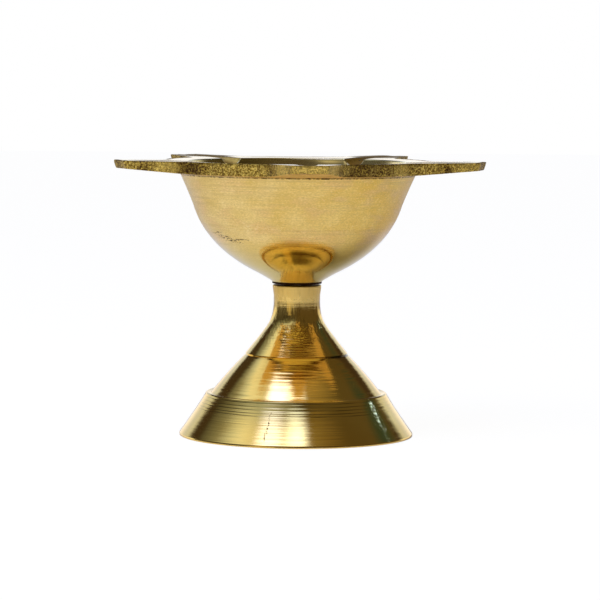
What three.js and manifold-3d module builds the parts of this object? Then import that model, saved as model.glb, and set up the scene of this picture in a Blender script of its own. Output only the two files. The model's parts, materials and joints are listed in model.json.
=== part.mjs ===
// Standing oil lamp: a brass bowl whose flat rim runs out in five wick spouts, screwed down on a
// hollow turned stand by a threaded stud. Millimetres, +Z up. The origin lies on the table under
// the middle of the rim's box, and one spout points along -Y.
import * as THREE from "three";
import { mergeVertices } from "three/addons/utils/BufferGeometryUtils.js";
import Module from "manifold-3d";

const wasm = await Module();
wasm.setup();

// Stand: radii and heights of its turned profile, heights from the table
const standHeight = 30.4;
const seatRadius = 4.95;
const neckRadius = 4.68;
const neckHeight = 27.2;
const throatRadius = 5.55;
const throatHeight = 22.9;
const grooveRadius = 10.3;
const grooveHeight = 16.6;
const coneRadius = 16.6;
const coneHeight = 9.3;
const ledgeRadius = 18.3;
const ledgeHeight = 8.7;
const baseRadius = 23.6;
const baseEdge = 0.45;
const standWall = 2.0;
const ringWidth = 2.2;

// Turned lines of the stand: one on the cone and a row of finer ones on the band above the table
const grooveWidth = 0.4;
const grooveDepth = 0.16;
const bandLineHeights = [8.1, 7.45, 6.85, 6.25, 5.75];
const bandLineWidth = 0.24;
const bandLineDepth = 0.06;
const ledgeLip = 0.2;

// Shares that place the control point of each curve, along its radius and along its height
const neckSweep = [0, 0.62];
const throatSweep = [0.16, 0.23];
const coneSweep = [0.51, 0.45];
const bandSweep = [0.19, 0.25];
const flareSweep = [0.58, 0.54];
const bellySweep = [0.2, 0.63];
const stemSweep = [0.98, 0.85];

// Bowl: radii and heights of its turned wall, heights above its own seat
const bowlHeight = 24.6;
const wallTopRadius = 23.7;
const shoulderRadius = 21.05;
const shoulderHeight = 15.9;
const bellyRadius = 8.0;
const bellyHeight = 2.2;
const stemRadius = 5.0;
const stemEdge = 0.35;
const bowlWall = 2.3;
const bowlFloor = 1.9;

// Rim and spouts, seen from above, with thicknesses at the wall and at the tips
const spoutCount = 5;
const tipRadius = 38;
const tipWidth = 7.4;
const tipCorner = 0.7;
const rimRadius = 26.7;
const rootWidth = 15.2;
const notchFillet = 2.4;
const rimThickness = 2.55;
const tipThickness = 1.6;
const tipRise = 0.4;
const edgeDraft = 0.45;

// Wick channel along each spout
const channelRadius = 2.6;
const channelDepth = 1.5;
const channelEnd = 0.8;

// Stud and its thread
const studRadius = 3;
const threadPitch = 1;
const threadTurns = 5;
const threadSpare = 0.2;
const edgeBreak = 0.3;

// Clearances
const seatGap = 0.3;
const threadGap = 0.1;
const studEndGap = 0.3;

// Facets
const turnSegments = 60;
const channelSegments = 20;
const curveSteps = 5;
const arcSteps = 4;

// Derived places
const studHold = threadPitch * threadTurns + threadSpare;
const boreRadius = studRadius + threadGap;
const bowlSeat = standHeight + seatGap;
const rimTop = bowlSeat + bowlHeight;
const studBottom = standHeight - studHold;
const studTop = bowlSeat + studHold;
const holeTop = studTop + studEndGap;
const floorTop = holeTop + bowlFloor;
const spoutStep = (2 * Math.PI) / spoutCount;
const frontSpout = -Math.PI / 2;

// Profiles: x is the radius and y the height

// A curve between two points: the shares place its control point between them.
function sweep(from, to, [radiusShare, heightShare]) {
  const control = new THREE.Vector2(
    from.x + (to.x - from.x) * radiusShare,
    from.y + (to.y - from.y) * heightShare,
  );
  return new THREE.QuadraticBezierCurve(from, control, to).getPoints(curveSteps);
}

// The same line moved sideways by a wall's thickness, to the right of its direction.
function offset(points, distance) {
  return points.map((point, i) => {
    const before = points[Math.max(i - 1, 0)];
    const after = points[Math.min(i + 1, points.length - 1)];
    const along = after.clone().sub(before).normalize();
    return new THREE.Vector2(point.x + along.y * distance, point.y - along.x * distance);
  });
}

// Radius of a falling profile line at a height.
function radiusAt(points, height) {
  const i = points.findIndex((point) => point.y <= height);
  const share = (points[i - 1].y - height) / (points[i - 1].y - points[i].y);
  return THREE.MathUtils.lerp(points[i - 1].x, points[i].x, share);
}

const at = (radius, height) => new THREE.Vector2(radius, height);

// A closed profile, listed anticlockwise, turned about the vertical axis.
function turned(profile) {
  const closed = [...profile, profile[0].clone()];
  return new THREE.LatheGeometry(closed, turnSegments).rotateX(Math.PI / 2);
}

// Solids for cutting and joining
function solid(geometry) {
  const bare = geometry.clone();
  bare.deleteAttribute("normal");
  bare.deleteAttribute("uv");
  const merged = mergeVertices(bare, 1e-4);
  return new wasm.Manifold(
    new wasm.Mesh({
      numProp: 3,
      vertProperties: merged.attributes.position.array,
      triVerts: new Uint32Array(merged.index.array),
    }),
  );
}

function geometryOf(manifold) {
  const mesh = manifold.getMesh();
  const geometry = new THREE.BufferGeometry();
  geometry.setAttribute("position", new THREE.BufferAttribute(mesh.vertProperties, 3));
  geometry.setIndex(new THREE.BufferAttribute(mesh.triVerts, 1));
  return geometry;
}

// Stand: turned outside with its fine lines, hollow underneath with an even wall, bored for the stud
function standProfile() {
  const throat = at(throatRadius, throatHeight);
  const neck = sweep(at(neckRadius, neckHeight), throat, neckSweep);
  const upperCone = sweep(throat, at(grooveRadius, grooveHeight), throatSweep).slice(1);
  const coneTop = at(grooveRadius + grooveDepth, grooveHeight - grooveWidth);
  const cone = sweep(coneTop, at(coneRadius, coneHeight), coneSweep);
  const bandTop = at(ledgeRadius, ledgeHeight - ledgeLip);
  const band = sweep(bandTop, at(baseRadius, baseEdge), bandSweep);

  const lines = bandLineHeights.flatMap((height) => [
    at(radiusAt(band, height + bandLineWidth / 2), height + bandLineWidth / 2),
    at(radiusAt(band, height) - bandLineDepth, height),
    at(radiusAt(band, height - bandLineWidth / 2), height - bandLineWidth / 2),
  ]);
  const isClearOfLines = (point) =>
    bandLineHeights.every((height) => Math.abs(point.y - height) > bandLineWidth / 2);
  const linedBand = [...band.filter(isClearOfLines), ...lines].sort((a, b) => b.y - a.y);

  const outside = [
    at(boreRadius, standHeight),
    at(seatRadius - edgeBreak, standHeight),
    at(seatRadius, standHeight - edgeBreak),
    ...neck,
    ...upperCone,
    at(grooveRadius - grooveDepth, grooveHeight - grooveWidth / 2),
    ...cone,
    at(coneRadius + ledgeLip, ledgeHeight - ledgeLip),
    at(ledgeRadius - ledgeLip, ledgeHeight),
    ...linedBand,
    at(baseRadius, 0),
  ];
  const hollow = [neck, upperCone, cone, band]
    .flatMap((line) => offset(line, standWall))
    .filter((point) => point.x > boreRadius && point.y > baseEdge)
    .reverse();
  const boreMouth = at(boreRadius, hollow[hollow.length - 1].y);
  return [...outside, at(baseRadius - ringWidth, 0), ...hollow, boreMouth].reverse();
}

// Bowl: the turned wall and its cavity
const wallTop = at(wallTopRadius, rimTop - rimThickness);
const shoulder = at(shoulderRadius, bowlSeat + shoulderHeight);
const belly = at(bellyRadius, bowlSeat + bellyHeight);
const stem = at(stemRadius, bowlSeat + stemEdge);
const flareLine = sweep(wallTop, shoulder, flareSweep);
const bellyLine = sweep(shoulder, belly, bellySweep);
const stemLine = sweep(belly, stem, stemSweep);

function wallProfile() {
  const core = [at(0, bowlSeat), at(stemRadius - edgeBreak, bowlSeat)];
  const wall = [...flareLine, ...bellyLine, ...stemLine].reverse();
  const intoRim = at(wallTopRadius, rimTop - rimThickness / 2);
  return [...core, ...wall, intoRim, at(0, intoRim.y)];
}

function cavityProfile() {
  const lip = at(wallTopRadius - bowlWall, rimTop);
  const inside = [...offset(flareLine, bowlWall), ...offset(bellyLine, bowlWall)];
  const sides = inside.filter((point) => point.y > floorTop + edgeBreak && point.y < rimTop);
  const floorRadius = sides[sides.length - 1].x - bowlFloor;
  const above = rimTop + rimThickness;
  const mouth = [at(0, above), at(lip.x, above), lip];
  return [...mouth, ...sides, at(floorRadius, floorTop), at(0, floorTop)].reverse();
}

// The rim as turned, before its spouts are cut out: it thins and rises a little to the tips.
function rimProfile() {
  const reach = tipRadius - rimRadius;
  const topRise = tipRise / reach;
  const tipUnderside = rimTop + tipRise - tipThickness;
  const undersideRise = (tipUnderside - wallTop.y) / (tipRadius - wallTopRadius);
  const edge = tipRadius + rimThickness;
  return [
    at(0, wallTop.y),
    wallTop,
    at(edge, wallTop.y + undersideRise * (edge - wallTopRadius)),
    at(edge, rimTop + topRise * (edge - rimRadius)),
    at(rimRadius, rimTop),
    at(0, rimTop),
  ];
}

// Outline of the rim from above: tapering spouts with fillets into the round rim between them
function rimShape() {
  const shape = new THREE.Shape();
  const place = (angle, along, across) =>
    new THREE.Vector2(along, across).rotateAround(new THREE.Vector2(), angle);
  const rootAngle = Math.asin(rootWidth / 2 / rimRadius);
  const root = new THREE.Vector2(rimRadius * Math.cos(rootAngle), rootWidth / 2);
  const tip = new THREE.Vector2(Math.sqrt(tipRadius ** 2 - (tipWidth / 2) ** 2), tipWidth / 2);
  const side = tip.clone().sub(root).normalize();
  const filletEnd = rootAngle + notchFillet / rimRadius;
  for (let i = 0; i < spoutCount; i++) {
    const angle = frontSpout + i * spoutStep;
    const onSide = root.clone().addScaledVector(side, notchFillet);
    const nearTip = tip.clone().addScaledVector(side, -tipCorner);
    const points = [
      place(angle, onSide.x, -onSide.y),
      place(angle, nearTip.x, -nearTip.y),
      place(angle, tip.x, -tip.y),
      place(angle, tipRadius, tipCorner - tipWidth / 2),
      place(angle, tipRadius, tipWidth / 2 - tipCorner),
      place(angle, tip.x, tip.y),
      place(angle, nearTip.x, nearTip.y),
      place(angle, onSide.x, onSide.y),
      place(angle, root.x, root.y),
      place(angle + filletEnd, rimRadius, 0),
    ];
    if (i === 0) shape.moveTo(points[0].x, points[0].y);
    else shape.lineTo(points[0].x, points[0].y);
    shape.lineTo(points[1].x, points[1].y);
    shape.quadraticCurveTo(points[2].x, points[2].y, points[3].x, points[3].y);
    shape.lineTo(points[4].x, points[4].y);
    shape.quadraticCurveTo(points[5].x, points[5].y, points[6].x, points[6].y);
    shape.lineTo(points[7].x, points[7].y);
    shape.quadraticCurveTo(points[8].x, points[8].y, points[9].x, points[9].y);
    shape.absarc(0, 0, rimRadius, angle + filletEnd, angle + spoutStep - filletEnd, false);
    const nextRoot = place(angle + spoutStep, root.x, -root.y);
    const nextSide = place(angle + spoutStep, onSide.x, -onSide.y);
    shape.quadraticCurveTo(nextRoot.x, nextRoot.y, nextSide.x, nextSide.y);
  }
  return shape;
}

// The cast edge leans in a little on its way down.
function rimPrism() {
  const low = wallTop.y - rimThickness;
  const high = rimTop + rimThickness;
  const prism = new THREE.ExtrudeGeometry(rimShape(), {
    depth: high - low,
    bevelEnabled: false,
    curveSegments: arcSteps,
  });
  const position = prism.attributes.position;
  const leanPerHeight = edgeDraft / tipRadius / rimThickness;
  const edgeTop = rimTop + tipRise - low;
  for (let i = 0; i < position.count; i++) {
    const inset = 1 - leanPerHeight * (edgeTop - position.getZ(i));
    position.setXY(i, position.getX(i) * inset, position.getY(i) * inset);
  }
  return prism.translate(0, 0, low);
}

// A round cutter laid along a spout, deep at the bowl and running out before the tip
function channelCutter(angle) {
  const start = wallTopRadius - bowlWall;
  const end = tipRadius - channelEnd;
  const rise = channelDepth + tipRise;
  const length = (end - start) * 2;
  const cutter = new THREE.CylinderGeometry(channelRadius, channelRadius, length, channelSegments);
  cutter.rotateZ(-Math.PI / 2);
  cutter.translate(length / 2 - (end - start) / 2, 0, 0);
  cutter.rotateY(-Math.atan2(rise, end - start));
  cutter.translate(start, 0, rimTop - channelDepth + channelRadius);
  return cutter.rotateZ(angle);
}

function bowlGeometry() {
  const rim = solid(turned(rimProfile())).intersect(solid(rimPrism()));
  const blank = rim.add(solid(turned(wallProfile())));
  const holeLength = holeTop - bowlSeat;
  const hole = new THREE.CylinderGeometry(boreRadius, boreRadius, holeLength * 2, turnSegments)
    .rotateX(Math.PI / 2)
    .translate(0, 0, holeTop - holeLength);
  let bowl = blank.subtract(solid(turned(cavityProfile()))).subtract(solid(hole));
  for (let i = 0; i < spoutCount; i++) {
    bowl = bowl.subtract(solid(channelCutter(frontSpout + i * spoutStep)));
  }
  return geometryOf(bowl);
}

// Stud, with both ends broken
function studProfile() {
  return [
    at(0, studBottom),
    at(studRadius - edgeBreak, studBottom),
    at(studRadius, studBottom + edgeBreak),
    at(studRadius, studTop - edgeBreak),
    at(studRadius - edgeBreak, studTop),
    at(0, studTop),
  ];
}

// Finishes
const satinBrass = new THREE.MeshStandardMaterial({ color: 0xd9b870, roughness: 0.45, metalness: 1 });
const brightBrass = new THREE.MeshStandardMaterial({ color: 0xc89a45, roughness: 0.18, metalness: 1 });
const rodBrass = new THREE.MeshStandardMaterial({ color: 0xb58a48, roughness: 0.35, metalness: 1 });

// The lamp stands on its own turning axis, which lies behind the middle of the rim's box.
const lamp = new THREE.Group();
const backReach = tipRadius * Math.cos(spoutStep / 2) + (tipWidth / 2) * Math.sin(spoutStep / 2);
lamp.position.y = (tipRadius - backReach) / 2;

const pieces = [
  ["stand", turned(standProfile()), brightBrass],
  ["screw_stud", turned(studProfile()), rodBrass],
  ["spouted_bowl", bowlGeometry(), satinBrass],
];
for (const [name, geometry, material] of pieces) {
  const piece = new THREE.Mesh(geometry, material);
  piece.name = name;
  lamp.add(piece);
}

export default lamp;
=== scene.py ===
import json
import math

import bmesh
import bpy
import numpy as np
from mathutils import Matrix, Vector


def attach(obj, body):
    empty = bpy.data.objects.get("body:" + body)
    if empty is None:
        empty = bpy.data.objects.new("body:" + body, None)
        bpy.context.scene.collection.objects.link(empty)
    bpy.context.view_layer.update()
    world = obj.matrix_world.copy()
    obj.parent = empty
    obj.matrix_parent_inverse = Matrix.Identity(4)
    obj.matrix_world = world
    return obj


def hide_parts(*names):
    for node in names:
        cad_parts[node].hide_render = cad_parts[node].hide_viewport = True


MM = 0.001

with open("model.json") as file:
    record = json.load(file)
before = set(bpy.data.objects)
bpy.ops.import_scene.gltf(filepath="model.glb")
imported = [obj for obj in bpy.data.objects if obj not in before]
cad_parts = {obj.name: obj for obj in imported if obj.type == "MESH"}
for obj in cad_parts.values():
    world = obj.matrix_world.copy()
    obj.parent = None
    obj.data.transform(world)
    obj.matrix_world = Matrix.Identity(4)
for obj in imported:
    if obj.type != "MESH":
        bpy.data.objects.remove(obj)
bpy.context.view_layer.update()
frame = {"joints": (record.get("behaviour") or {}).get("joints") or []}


# The lamp's sizes in millimetres, heights from the table, radii from the turning axis

TURN_JOINT = next(joint for joint in frame["joints"] if joint["name"] == "turn")
AXIS = Vector((TURN_JOINT["pos_m"][0], TURN_JOINT["pos_m"][1], 0.0))

STAND_HEIGHT = 30.4
SEAT_RADIUS = 4.95
NECK_RADIUS = 4.68
NECK_HEIGHT = 27.2
NECK_STRAIGHT = 1.2
THROAT_RADIUS = 5.55
THROAT_HEIGHT = 22.9
GROOVE_RADIUS = 10.3
GROOVE_HEIGHT = 16.6
CONE_RADIUS = 16.6
CONE_HEIGHT = 9.3
CONE_FOOT = 17.2
LEDGE_RADIUS = 18.3
LEDGE_HEIGHT = 8.7
LEDGE_LIP = 0.2
LEDGE_BREAK = 0.25
BASE_RADIUS = 23.6
BASE_EDGE = 0.45
STAND_WALL = 2.0
RING_WIDTH = 2.2
EDGE_BREAK = 0.3
FINE_BREAK = 0.12

GROOVE_WIDTH = 0.4
GROOVE_DEPTH = 0.16
GROOVE_MIDDLE = GROOVE_HEIGHT - GROOVE_WIDTH / 2
BAND_LINES = (8.1, 7.45, 6.85, 6.25, 5.75)
BAND_LINE_WIDTH = 0.24
BAND_LINE_DEPTH = 0.01

BOWL_SEAT = 30.7
RIM_TOP = 55.3
WALL_TOP = (23.7, 52.75)
SHOULDER = (21.05, 46.6)
BELLY = (8.0, 32.9)
STEM = (5.0, 31.05)
BOWL_WALL = 2.3
UNDER_RIM_CORNER = 0.3
UNDER_RIM_ROUND = 0.25
LIP_RADIUS = 21.7
LIP_ROUND = 0.35
LIP_CLEAR = 0.8
LIP_BEND = 5.0
FLOOR_TOP = 38.1
FLOOR_FLAT = 2.4
FLOOR_CORNER = 0.7
FLOOR_ROUND = 0.6

SPOUTS = 5
TIP_RADIUS = 37.96
TIP_WIDTH = 7.4
TIP_CORNER = 0.7
RIM_RADIUS = 26.7
ROOT_WIDTH = 15.2
NOTCH_FILLET = 2.4
TIP_THICKNESS = 1.6
TIP_RISE = 0.38
RIM_DISH = 0.2
EDGE_DRAFT = 0.4
EDGE_ROUND = 0.16
EDGE_INSET = 0.1
EDGE_MIDDLE = 53.9
ARRIS_WEAR = 1.3
CHANNEL_RADIUS = 2.6
CHANNEL_DEPTH = 1.5
CHANNEL_END = 0.8
CHANNEL_SOFT = 0.12

STUD_RADIUS = 3.0
STUD_CLEAR = 0.3
BORE_RADIUS = 3.1
STUD_BOTTOM = 25.2
STUD_TOP = 35.9
THREAD_PITCH = 1.0
THREAD_DEPTH = 0.45
THREAD_START = 0.8
RIDGE_OUT = THREAD_DEPTH * 0.3
RIDGE_RADIUS = THREAD_DEPTH * 0.66


# How many points go round a turned piece

COLUMNS = 320
STUD_COLUMNS = 64


# Marks of making and use, and painted light and shade, in millimetres, with directions in degrees; the camera
# looks from direction -93.5

# The cast skin on the rim's edge: its depth, and how many grains and swells of it go into a metre
CAST_DEPTH = 0.35
CAST_GRAIN = 1500.0
CAST_SWELL = 350.0

# Scratches: direction, radius and height of each middle, its half length, and its slope in degrees
BOWL_SCRATCHES = (
    (-153.0, 17.7, 41.3, 2.6, 4.0), (-148.0, 17.4, 40.75, 2.6, -3.0), (-145.0, 17.2, 40.3, 3.4, -5.0),
    (-141.0, 17.0, 39.95, 3.0, 3.0), (-138.0, 16.8, 39.6, 2.0, -4.0), (-131.0, 17.2, 40.2, 2.0, 2.0),
)
STAND_SCRATCHES = (
    (-108.4, 21.2, 4.6, 2.6, 88.0), (-109.3, 22.4, 2.4, 1.6, 96.0), (-108.0, 20.4, 6.4, 1.2, 80.0),
)
SCRATCH_WIDTH = 0.16

# Dark and bright places on the rim's edge, partly stains and wear, partly painted shade and painted light on
# its facets; and painted darker reflections on its face: direction, radius, reach and strength
EDGE_SHADE_AND_STAINS = (
    (-144.0, 27.3, 2.6, 0.8), (-104.3, 28.4, 0.7, 0.7), (-64.0, 26.7, 4.4, 0.45), (-28.0, 32.6, 0.9, 0.8),
    (-48.0, 26.7, 2.6, 0.15), (-162.0, 38.0, 2.0, 0.25), (8.0, 29.0, 3.0, 0.6), (71.0, 27.5, 3.5, 0.6),
    (110.0, 31.0, 2.5, 0.5), (158.0, 27.0, 4.0, 0.6),
)
EDGE_LIGHT_AND_WEAR = (
    (-150.0, 31.0, 3.2, 0.6), (-98.5, 33.5, 4.0, 0.8), (-43.0, 26.7, 2.8, 0.6), (-24.5, 36.3, 3.6, 0.5),
    (-79.0, 34.0, 5.0, 0.75), (-89.0, 37.9, 6.0, 0.55), (37.0, 27.0, 3.0, 0.5), (126.0, 37.5, 3.0, 0.5),
    (-8.0, 35.0, 3.0, 0.4),
)
FACE_DARK_REFLECTIONS = ((52.0, 32.5, 9.0, 0.75), (124.0, 33.0, 9.0, 0.7))

# Heights where a finish, a dirt or a painted shade changes, from one end of the change to the other
# The joint's dark line is painted shadow of the seam's gap, with some old polish and oil in it.
JOINT_SHADOW_AND_GRIME_BOTTOM = (30.38, 30.50)
JOINT_SHADOW_AND_GRIME_TOP = (31.06, 31.18)
BOWL_OLIVE = (35.0, 40.0)
BOWL_SATIN = (38.5, 44.0)
NECK_SATIN = (NECK_HEIGHT - 0.6, NECK_HEIGHT + 1.4)
THROAT_STREAKS_BOTTOM = (18.0, 24.0)
THROAT_STREAKS_TOP = (26.8, 27.8)
CONE_RINGS_BOTTOM = (8.5, 10.5)
CONE_RINGS_TOP = (16.0, 18.0)
BAND_SHADE_BOTTOM = (2.2, 7.0)
BAND_SHADE_TOP = (8.4, 8.7)

# Places to the right of the lamp's middle where a finish, a dirt or a painted shade changes
BOWL_DEEPER = (-12.0, 14.0)
INSIDE_SHADE_END = (-10.0, 4.0)
LINE_GRIME_LEFT = (-20.0, -13.0)
LINE_GRIME_RIGHT = (8.0, 15.0)
GROOVE_GRIME_LEFT = (4.0, 7.0)
BAND_SHADE_LEFT = (-12.5, -8.5)
BAND_SHADE_RIGHT = (-0.5, 3.0)

# Colours laid over the finishes: the black and the brown serve both dirt and painted shade; the dark edge
# colour is partly stains, partly painted shade; the bright edge colour is partly wear, partly painted light;
# the band's dull colour is painted shade; the old polish is real.
BLACK_GRIME_AND_SHADE = (0.035, 0.012, 0.004)
BROWN_GRIME_AND_SHADE = (0.32, 0.20, 0.05)
OLD_POLISH = (0.16, 0.10, 0.02)
BAND_SHADE_COLOUR = (0.50, 0.37, 0.11)
EDGE_SHADE_AND_STAIN = (0.06, 0.025, 0.008)
LIGHT_AND_WEAR_BRIGHT = (0.95, 0.69, 0.15)


# Profiles, as (radius, height) in millimetres

def bend(start, end, shares, steps):
    """A curve between two points; the shares place its control point between them."""
    start, end = np.array(start, float), np.array(end, float)
    control = start + (end - start) * np.array(shares)
    t = np.linspace(0, 1, steps)[:, None]
    return (1 - t) ** 2 * start + 2 * t * (1 - t) * control + t ** 2 * end


def line(start, end, steps):
    """Evenly spaced points, without the last one."""
    t = np.linspace(0, 1, steps, endpoint=False)[:, None]
    return np.array(start) + (np.array(end) - np.array(start)) * t


def rounded(corner, start, end, radius, steps=5):
    """A small round in place of a corner, from the side of start to the side of end."""
    corner, start, end = (np.array(point, float) for point in (corner, start, end))
    one = corner + (start - corner) / np.linalg.norm(start - corner) * radius
    two = corner + (end - corner) / np.linalg.norm(end - corner) * radius
    t = np.linspace(0, 1, steps)[:, None]
    return (1 - t) ** 2 * one + 2 * t * (1 - t) * corner + t ** 2 * two


def offset(points, distance):
    """The same line moved sideways by a wall's thickness."""
    along = np.gradient(points, axis=0)
    along /= np.linalg.norm(along, axis=1)[:, None]
    return points + np.stack([along[:, 1], -along[:, 0]], axis=1) * distance


def band_profile(top):
    """The band down the foot, with its fine turned lines."""
    band = bend(top, (BASE_RADIUS, BASE_EDGE), shares=(0.19, 0.25), steps=150)
    for height in BAND_LINES:
        away = np.abs(band[:, 1] - height) / (BAND_LINE_WIDTH / 2)
        band[:, 0] -= BAND_LINE_DEPTH * np.clip(1 - away, 0, 1)
    return band


def stand_profile():
    """Down the outside from the bore's top and back up through the hollow."""
    throat = (THROAT_RADIUS, THROAT_HEIGHT)
    neck = bend((NECK_RADIUS, NECK_HEIGHT), throat, shares=(0, 0.62), steps=24)
    upper_cone = bend(throat, (GROOVE_RADIUS, GROOVE_HEIGHT), shares=(0.16, 0.23), steps=24)
    cone_top = (GROOVE_RADIUS + GROOVE_DEPTH, GROOVE_HEIGHT - GROOVE_WIDTH)
    cone = bend(cone_top, (CONE_RADIUS, CONE_HEIGHT), shares=(0.51, 0.45), steps=22)
    band_top = (LEDGE_RADIUS, LEDGE_HEIGHT - LEDGE_LIP)
    band = band_profile(band_top)
    bore_top = (BORE_RADIUS, STAND_HEIGHT)
    under_seat = (NECK_RADIUS, NECK_HEIGHT + NECK_STRAIGHT)
    ledge_edge = (LEDGE_RADIUS - LEDGE_LIP, LEDGE_HEIGHT)
    outside = np.vstack([
        [bore_top],
        rounded((SEAT_RADIUS, STAND_HEIGHT), bore_top, under_seat, EDGE_BREAK),
        [under_seat],
        neck,
        upper_cone[1:],
        [(GROOVE_RADIUS - GROOVE_DEPTH, GROOVE_MIDDLE)],
        cone,
        rounded((CONE_FOOT, LEDGE_HEIGHT - LEDGE_LIP), cone[-1], band_top, FINE_BREAK),
        rounded(ledge_edge, (CONE_RADIUS, LEDGE_HEIGHT), band[1], LEDGE_BREAK),
        band[1:],
        rounded((BASE_RADIUS, 0), (BASE_RADIUS, BASE_EDGE), (0, 0), FINE_BREAK),
    ])
    hollow = np.vstack([offset(part, STAND_WALL)[::2] for part in (neck, upper_cone[1:], cone, band[::5])])
    inside = hollow[(hollow[:, 0] > BORE_RADIUS) & (hollow[:, 1] > BASE_EDGE)][::-1]
    ring_round = rounded((BASE_RADIUS - RING_WIDTH, 0), (BASE_RADIUS, 0), inside[0], EDGE_BREAK)
    bore = line((BORE_RADIUS, inside[-1, 1]), bore_top, 6)
    return np.vstack([outside, ring_round, inside, bore])


def stud_profile(radius):
    return np.vstack([
        [(0, STUD_BOTTOM)],
        rounded((radius, STUD_BOTTOM), (0, STUD_BOTTOM), (radius, STUD_TOP), EDGE_BREAK),
        rounded((radius, STUD_TOP), (radius, STUD_BOTTOM), (0, STUD_TOP), EDGE_BREAK),
        [(0, STUD_TOP)],
    ])


# Meshes

def ring_mesh(name, rings, closed):
    """A skin over rings of points, rings[i][j]; it closes on itself, or ends in two poles."""
    count, columns = rings.shape[:2]
    points = rings.reshape(-1, 3)
    here = np.arange(columns)
    following = (here + 1) % columns
    faces = []
    for i in range(count if closed else count - 1):
        low, high = i * columns, ((i + 1) % count) * columns
        faces += np.stack([low + here, low + following, high + following, high + here], 1).tolist()
    mesh = bpy.data.meshes.new(name)
    mesh.from_pydata((points * MM + np.array(AXIS)).tolist(), [], faces)
    piece = bpy.data.objects.new(name, mesh)
    bpy.context.scene.collection.objects.link(piece)
    return piece


def close_up(piece, sharp_degrees=38):
    """Merges the poles, turns the faces outward and keeps only real edges sharp."""
    work = bmesh.new()
    work.from_mesh(piece.data)
    bmesh.ops.remove_doubles(work, verts=work.verts, dist=1e-7)
    bmesh.ops.recalc_face_normals(work, faces=work.faces)
    work.to_mesh(piece.data)
    work.free()
    piece.data.shade_smooth()
    piece.data.set_sharp_from_angle(angle=math.radians(sharp_degrees))
    return piece


def turned_rings(profile, columns=COLUMNS):
    """A profile turned about the axis."""
    angle = np.linspace(0, 2 * math.pi, columns, endpoint=False)
    radius, height = profile[:, 0][:, None], profile[:, 1][:, None]
    return np.stack([radius * np.cos(angle), radius * np.sin(angle), height + 0 * angle], axis=2)


def make_stand():
    return close_up(ring_mesh("turned_stand", turned_rings(stand_profile()), closed=True))


# Bowl and rim

def rim_outline():
    """Points round the rim from above: tapering spouts with fillets into the round rim."""
    root_angle = math.asin(ROOT_WIDTH / 2 / RIM_RADIUS)
    root = np.array([RIM_RADIUS * math.cos(root_angle), ROOT_WIDTH / 2])
    tip = np.array([math.sqrt(TIP_RADIUS ** 2 - (TIP_WIDTH / 2) ** 2), TIP_WIDTH / 2])
    side = (tip - root) / np.linalg.norm(tip - root)
    fillet_end = root_angle + NOTCH_FILLET / RIM_RADIUS
    on_circle = RIM_RADIUS * np.array([math.cos(fillet_end), math.sin(fillet_end)])
    end_face = np.array([TIP_RADIUS, TIP_WIDTH / 2 - TIP_CORNER])
    arc_angles = np.linspace(fillet_end, math.pi / SPOUTS, 14)
    half = np.vstack([
        line((TIP_RADIUS, 0), end_face, 8),
        rounded(tip, end_face, root, TIP_CORNER, 6)[:-1],
        line(tip - side * TIP_CORNER, root + side * NOTCH_FILLET, 26),
        rounded(root, tip, on_circle, NOTCH_FILLET, 11)[:-1],
        RIM_RADIUS * np.stack([np.cos(arc_angles), np.sin(arc_angles)], axis=1),
    ])
    mirrored = half[1:-1][::-1] * (1, -1)
    spout = np.vstack([mirrored, half])
    outline = []
    for k in range(SPOUTS):
        turn = -math.pi / 2 + k * 2 * math.pi / SPOUTS
        matrix = np.array([[math.cos(turn), math.sin(turn)], [-math.sin(turn), math.cos(turn)]])
        outline.append(spout @ matrix)
    return np.vstack(outline)


def rim_surface(radius):
    """Height of the rim's face: slightly dished towards the bowl, and rising a little to the tips."""
    dish = RIM_DISH * np.clip((radius - LIP_RADIUS) / (RIM_RADIUS - LIP_RADIUS), 0, 1)
    to_tip = np.clip((radius - RIM_RADIUS) / (TIP_RADIUS - RIM_RADIUS), 0, None)
    return RIM_TOP + dish + (TIP_RISE - RIM_DISH) * to_tip


def rim_underside(radius):
    tip_height = RIM_TOP + TIP_RISE - TIP_THICKNESS
    share = (radius - WALL_TOP[0]) / (TIP_RADIUS - WALL_TOP[0])
    return WALL_TOP[1] + (tip_height - WALL_TOP[1]) * share


def channel_drop(along, across):
    """How far a spout's wick channel lies under the rim's face."""
    reach = TIP_RADIUS - CHANNEL_END - LIP_RADIUS
    depth = CHANNEL_DEPTH * (1 - (along - LIP_RADIUS) / reach)
    width = np.clip(np.abs(across), 0, CHANNEL_RADIUS * 0.98)
    rise = CHANNEL_RADIUS - np.sqrt(CHANNEL_RADIUS ** 2 - width ** 2)
    return np.logaddexp(0, (depth - rise) / CHANNEL_SOFT) * CHANNEL_SOFT * (np.abs(across) < CHANNEL_RADIUS)


class BowlSkin:
    """Rings round the bowl, from its floor over the rim to its stem, each with marks for its finish and for
    painted shade.
    """

    def __init__(self):
        outline = rim_outline()
        half_turn = math.pi / SPOUTS
        self.reach = np.linalg.norm(outline, axis=1)
        self.angle = np.arctan2(outline[:, 1], outline[:, 0])
        self.from_spout = (self.angle + math.pi / 2 + half_turn) % (2 * half_turn) - half_turn
        self.rings = []
        # The mark under the rim says where shade is painted: down the cast edge and in the corner where the
        # wall meets the rim's underside.
        self.marks = {"cast_skin": [], "under_edge": [], "face_edge": [], "inside": []}

    def add(self, radius, height, **given):
        radius = np.broadcast_to(radius, self.reach.shape)
        height = np.broadcast_to(height, self.reach.shape)
        ring = [radius * np.cos(self.angle), radius * np.sin(self.angle), height]
        self.rings.append(np.stack(ring, axis=1))
        for mark, values in self.marks.items():
            values.append(np.broadcast_to(given.get(mark, 0.0), self.reach.shape))

    def drop(self, radius):
        """How far the wick channels lie under the rim's face, all round at one radius."""
        return channel_drop(radius * np.cos(self.from_spout), radius * np.sin(self.from_spout))


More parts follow.
